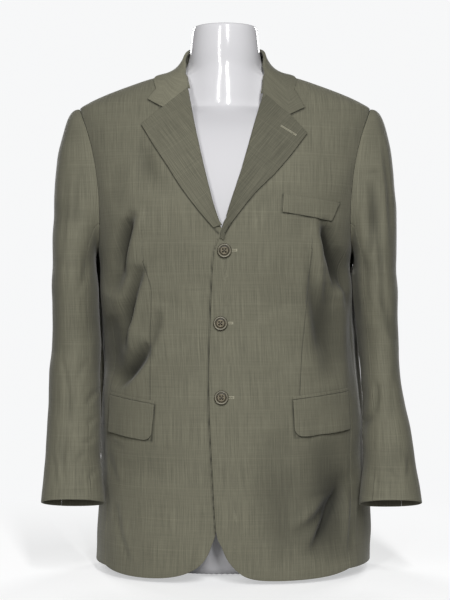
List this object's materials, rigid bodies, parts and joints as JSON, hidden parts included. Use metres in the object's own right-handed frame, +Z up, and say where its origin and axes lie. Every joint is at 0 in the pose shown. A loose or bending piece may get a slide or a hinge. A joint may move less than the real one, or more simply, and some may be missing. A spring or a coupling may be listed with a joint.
{
  "type": "blazer on torso form",
  "caption": "Three-button single-breasted notch-lapel blazer with flap pockets, filled out and worn open at the hem on a limbless torso form with a flat foot.",
  "frame": {"origin": "centre line of the torso form's flat foot, on the surface that it stands on", "axes": "+Z up the body to the neck; -Y the front of the garment; +X the wearer's left"},
  "size_m": [0.5675, 0.2816, 0.836],
  "materials": {
    "wool": "grey-green fine wool suiting with faint vertical slubs",
    "horn": "satin brown button with a dished middle",
    "form": "glossy white moulded shell"
  },
  "bodies": {
    "root": {"front_left": "wool", "front_right": "wool", "side_left": "wool", "side_right": "wool", "back_left": "wool", "back_right": "wool", "top_sleeve_left": "wool", "top_sleeve_right": "wool", "under_sleeve_left": "wool", "under_sleeve_right": "wool", "lapel_left": "wool", "lapel_right": "wool", "collar": "wool", "collar_stand": "wool", "flap_left": "wool", "flap_right": "wool", "jet_left": "wool", "jet_right": "wool", "breast_welt": "wool", "button_1": "horn", "button_2": "horn", "button_3": "horn", "torso_form": "form"}
  },
  "joints": []
}
